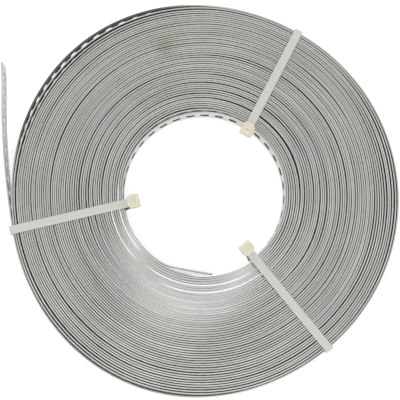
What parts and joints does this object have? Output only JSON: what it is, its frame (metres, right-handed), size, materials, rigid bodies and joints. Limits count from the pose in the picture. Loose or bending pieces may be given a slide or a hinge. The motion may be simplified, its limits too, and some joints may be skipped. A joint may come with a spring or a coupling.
{
  "type": "perforated mounting strap roll",
  "caption": "Flat roll of punched galvanised steel mounting strap with an open bore and a loose outer end, held by nylon cable ties.",
  "frame": {"origin": "on the coil's axis, at the floor that the roll lies on", "axes": "+Z up along the coil's axis; +Y up and +X right in the picture, so the loose end leaves on the -X side and runs along +Y"},
  "size_m": [0.2285, 0.2253, 0.0191],
  "materials": {
    "galvanised_strap": "bright zinc, satin, slightly dulled",
    "natural_nylon": "natural nylon, satin"
  },
  "bodies": {
    "root": {"strap_roll": "galvanised_strap", "cable_tie_left": "natural_nylon", "cable_tie_lower_right": "natural_nylon", "cable_tie_upper_right": "natural_nylon"}
  },
  "joints": []
}
